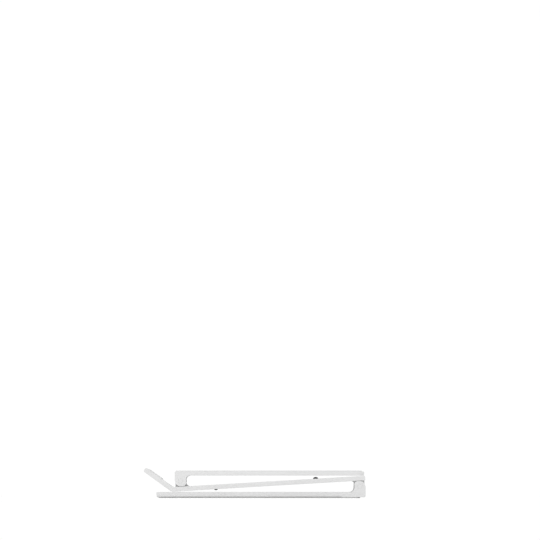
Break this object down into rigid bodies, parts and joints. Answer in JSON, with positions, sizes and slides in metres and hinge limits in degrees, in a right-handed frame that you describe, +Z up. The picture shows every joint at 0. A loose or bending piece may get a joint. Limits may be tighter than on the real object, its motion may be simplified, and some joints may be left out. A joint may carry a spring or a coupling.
{
  "type": "laptop stand",
  "caption": "Folding stand that carries a laptop on a padded platform, raised and tilted by two friction hinges, with lips that rise in front of it.",
  "frame": {"origin": "on the table, under the middle of the folded stand", "axes": "+X across the stand to the user's right, -Y towards the user, +Z up"},
  "size_m": [0.21, 0.2338, 0.0317],
  "materials": {
    "white_paint": "fine satin powder coat on cast aluminium",
    "base_silicone": "matte mid-grey silicone",
    "platform_silicone": "matte pale grey silicone",
    "bumper_rubber": "matte black rubber",
    "pin_steel": "turned steel, bright; the end that shows is painted white",
    "spring_steel": "tempered spring steel, dull",
    "fastener_steel": "zinc-plated steel",
    "cap_plastic": "fine-grained white plastic",
    "bush_bronze": "sintered bronze",
    "washer_plastic": "filled plastic, dark"
  },
  "bodies": {
    "base": {"base_frame": "white_paint", "base_pad_left": "base_silicone", "base_pad_right": "base_silicone", "lower_disc_springs_left": "spring_steel", "lower_disc_springs_right": "spring_steel", "lower_hinge_cap_left": "cap_plastic", "lower_hinge_cap_right": "cap_plastic", "lower_hinge_pin_left": "pin_steel", "lower_hinge_pin_right": "pin_steel", "lower_lock_nut_left": "fastener_steel", "lower_lock_nut_right": "fastener_steel"},
    "arm": {"arm_cross_plate": "white_paint", "arm_left": "white_paint", "arm_right": "white_paint", "cross_plate_screws": "fastener_steel", "lip_pad_left": "platform_silicone", "lip_pad_right": "platform_silicone", "lower_bumper_left": "bumper_rubber", "lower_bumper_right": "bumper_rubber", "lower_friction_washers_left": "washer_plastic", "lower_friction_washers_right": "washer_plastic", "lower_hinge_bush_left": "bush_bronze", "lower_hinge_bush_right": "bush_bronze", "upper_bumper_left": "bumper_rubber", "upper_bumper_right": "bumper_rubber", "upper_friction_washers_left": "washer_plastic", "upper_friction_washers_right": "washer_plastic", "upper_hinge_bush_left": "bush_bronze", "upper_hinge_bush_right": "bush_bronze"},
    "platform": {"platform_frame": "white_paint", "platform_pad_left": "platform_silicone", "platform_pad_right": "platform_silicone", "upper_disc_springs_left": "spring_steel", "upper_disc_springs_right": "spring_steel", "upper_hinge_cap_left": "cap_plastic", "upper_hinge_cap_right": "cap_plastic", "upper_hinge_pin_left": "pin_steel", "upper_hinge_pin_right": "pin_steel", "upper_lock_nut_left": "fastener_steel", "upper_lock_nut_right": "fastener_steel"}
  },
  "joints": [
    {"name": "lower_hinge", "type": "hinge", "parent": "base", "child": "arm", "pos_m": [0, 0.11088, 0.0126], "axis": [-1, 0, 0], "range_deg": [0, 72]},
    {"name": "upper_hinge", "type": "hinge", "parent": "arm", "child": "platform", "pos_m": [0, -0.07827, 0.01807], "axis": [1, 0, 0], "range_deg": [0, 65]}
  ]
}
